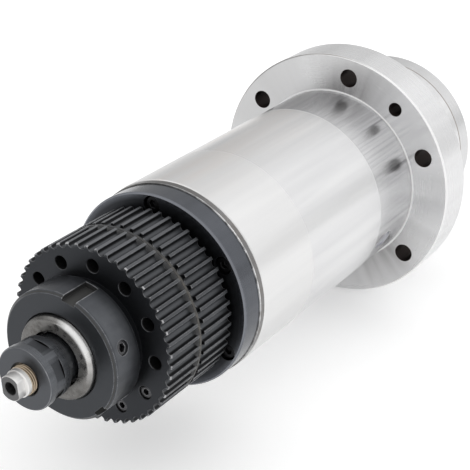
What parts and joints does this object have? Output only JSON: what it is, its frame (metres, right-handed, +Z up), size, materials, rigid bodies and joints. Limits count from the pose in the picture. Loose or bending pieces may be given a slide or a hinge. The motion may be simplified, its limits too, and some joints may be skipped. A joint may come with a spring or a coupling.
{
  "type": "machine tool spindle",
  "caption": "Belt-driven machining spindle: flanged round body, steep-taper nose with drive keys, toothed two-row pulley, slotted lock nut and spring drawbar.",
  "frame": {"origin": "on the spindle axis, in the rear face of the mounting flange", "axes": "+Y along the spindle axis out of the nose, +Z up, +X to the right seen from behind"},
  "size_m": [0.127, 0.3239, 0.127],
  "materials": {
    "ground_steel": "finely turned and ground bare steel",
    "black_oxide": "satin black oxide on turned steel",
    "screw_steel": "black steel screws with hex sockets",
    "bearing_steel": "ground bearing steel",
    "cage_brass": "machined brass",
    "polished_steel": "polished hardened steel",
    "bright_steel": "bright turned steel",
    "spring_steel": "dark spring steel"
  },
  "bodies": {
    "housing": {"housing": "ground_steel", "mounting_flange": "ground_steel", "front_cover": "ground_steel", "front_cover_screws": "screw_steel", "rear_ring": "ground_steel", "rear_cover": "black_oxide", "rear_cover_screws": "screw_steel", "front_outer_rings": "bearing_steel", "front_outer_spacer": "bearing_steel", "rear_outer_rings": "bearing_steel"},
    "rotor": {"spindle_shaft": "polished_steel", "front_inner_rings": "bearing_steel", "front_inner_spacer": "bearing_steel", "rear_inner_rings": "bearing_steel", "front_lock_nut": "black_oxide", "pulley_spacer": "ground_steel", "drive_pulley": "black_oxide", "pulley_key": "bright_steel", "balance_screws": "screw_steel", "rear_lock_nut": "black_oxide", "lock_nut_screws": "screw_steel", "drive_keys": "bright_steel", "drive_key_screws": "screw_steel", "spring_seat": "bright_steel", "disc_springs": "spring_steel"},
    "front_cages": {"front_cages": "cage_brass"},
    "rear_cages": {"rear_cages": "cage_brass"},
    "drawbar": {"drawbar": "bright_steel", "drawbar_nut": "black_oxide"},
    "gripper_finger_1": {"gripper_finger_1": "bright_steel"},
    "gripper_finger_2": {"gripper_finger_2": "bright_steel"},
    "gripper_finger_3": {"gripper_finger_3": "bright_steel"},
    "gripper_finger_4": {"gripper_finger_4": "bright_steel"}
  },
  "joints": [
    {"name": "spindle_spin", "type": "hinge", "parent": "housing", "child": "rotor", "pos_m": [0, 0, 0], "axis": [0, 1, 0], "continuous": true},
    {"name": "front_cage_spin", "type": "hinge", "parent": "housing", "child": "front_cages", "pos_m": [0, 0.04, 0], "axis": [0, 1, 0], "continuous": true},
    {"name": "rear_cage_spin", "type": "hinge", "parent": "housing", "child": "rear_cages", "pos_m": [0, -0.119, 0], "axis": [0, 1, 0], "continuous": true},
    {"name": "drawbar_slide", "type": "slide", "parent": "rotor", "child": "drawbar", "axis": [0, 1, 0], "range_m": [0, 0.0045], "stiffness_N_per_m": 2000, "springref_m": -0.01, "deforming": ["disc_springs"]},
    {"name": "finger_1_swing", "type": "hinge", "parent": "drawbar", "child": "gripper_finger_1", "pos_m": [-0.00417, -0.0205, 0.00417], "axis": [0.7071, 0, 0.7071], "range_deg": [0, 3.96]},
    {"name": "finger_2_swing", "type": "hinge", "parent": "drawbar", "child": "gripper_finger_2", "pos_m": [-0.00417, -0.0205, -0.00417], "axis": [-0.7071, 0, 0.7071], "range_deg": [0, 3.96]},
    {"name": "finger_3_swing", "type": "hinge", "parent": "drawbar", "child": "gripper_finger_3", "pos_m": [0.00417, -0.0205, -0.00417], "axis": [-0.7071, 0, -0.7071], "range_deg": [0, 3.96]},
    {"name": "finger_4_swing", "type": "hinge", "parent": "drawbar", "child": "gripper_finger_4", "pos_m": [0.00417, -0.0205, 0.00417], "axis": [0.7071, 0, -0.7071], "range_deg": [0, 3.96]}
  ],
  "couplings": [
    {"joint": "front_cage_spin", "follows": "spindle_spin", "ratio": 0.44},
    {"joint": "rear_cage_spin", "follows": "spindle_spin", "ratio": 0.43},
    {"joint": "finger_1_swing", "follows": "drawbar_slide", "rad_per_m": 15.3},
    {"joint": "finger_2_swing", "follows": "drawbar_slide", "rad_per_m": 15.3},
    {"joint": "finger_3_swing", "follows": "drawbar_slide", "rad_per_m": 15.3},
    {"joint": "finger_4_swing", "follows": "drawbar_slide", "rad_per_m": 15.3}
  ]
}
